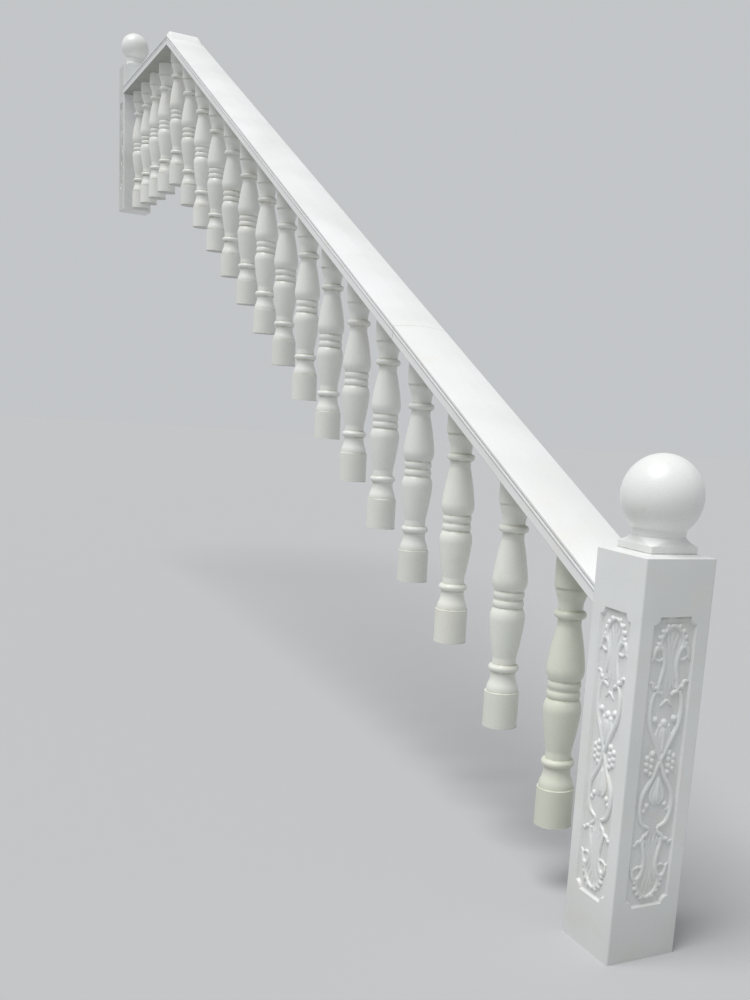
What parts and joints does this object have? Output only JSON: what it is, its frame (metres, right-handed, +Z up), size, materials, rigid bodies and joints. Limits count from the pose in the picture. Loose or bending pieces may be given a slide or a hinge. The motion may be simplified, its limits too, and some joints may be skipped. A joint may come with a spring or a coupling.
{
  "type": "stone stair balustrade",
  "caption": "Straight stone stair balustrade with turned balusters, a moulded handrail that levels out over the landing, and panelled newels with ball finials.",
  "frame": {"origin": "centre of the lower newel's foot, where it stands on the first step", "axes": "+X up the flight in plan, +Y across the balustrade towards the open flight, +Z up"},
  "size_m": [6.444, 0.2, 3.5692],
  "materials": {
    "newel_stone": "satin",
    "finial_stone": "satin",
    "rail_stone": "satin",
    "baluster_stone": "satin"
  },
  "bodies": {
    "root": {"lower_newel": "newel_stone", "lower_finial": "finial_stone", "top_newel": "newel_stone", "top_finial": "finial_stone", "handrail_lower": "rail_stone", "handrail_upper": "rail_stone", "landing_rail": "rail_stone", "baluster_01": "baluster_stone", "baluster_02": "baluster_stone", "baluster_03": "baluster_stone", "baluster_04": "baluster_stone", "baluster_05": "baluster_stone", "baluster_06": "baluster_stone", "baluster_07": "baluster_stone", "baluster_08": "baluster_stone", "baluster_09": "baluster_stone", "baluster_10": "baluster_stone", "baluster_11": "baluster_stone", "baluster_12": "baluster_stone", "baluster_13": "baluster_stone", "baluster_14": "baluster_stone", "baluster_15": "baluster_stone", "baluster_16": "baluster_stone", "landing_baluster_1": "baluster_stone", "landing_baluster_2": "baluster_stone", "landing_baluster_3": "baluster_stone", "landing_baluster_4": "baluster_stone"}
  },
  "joints": []
}
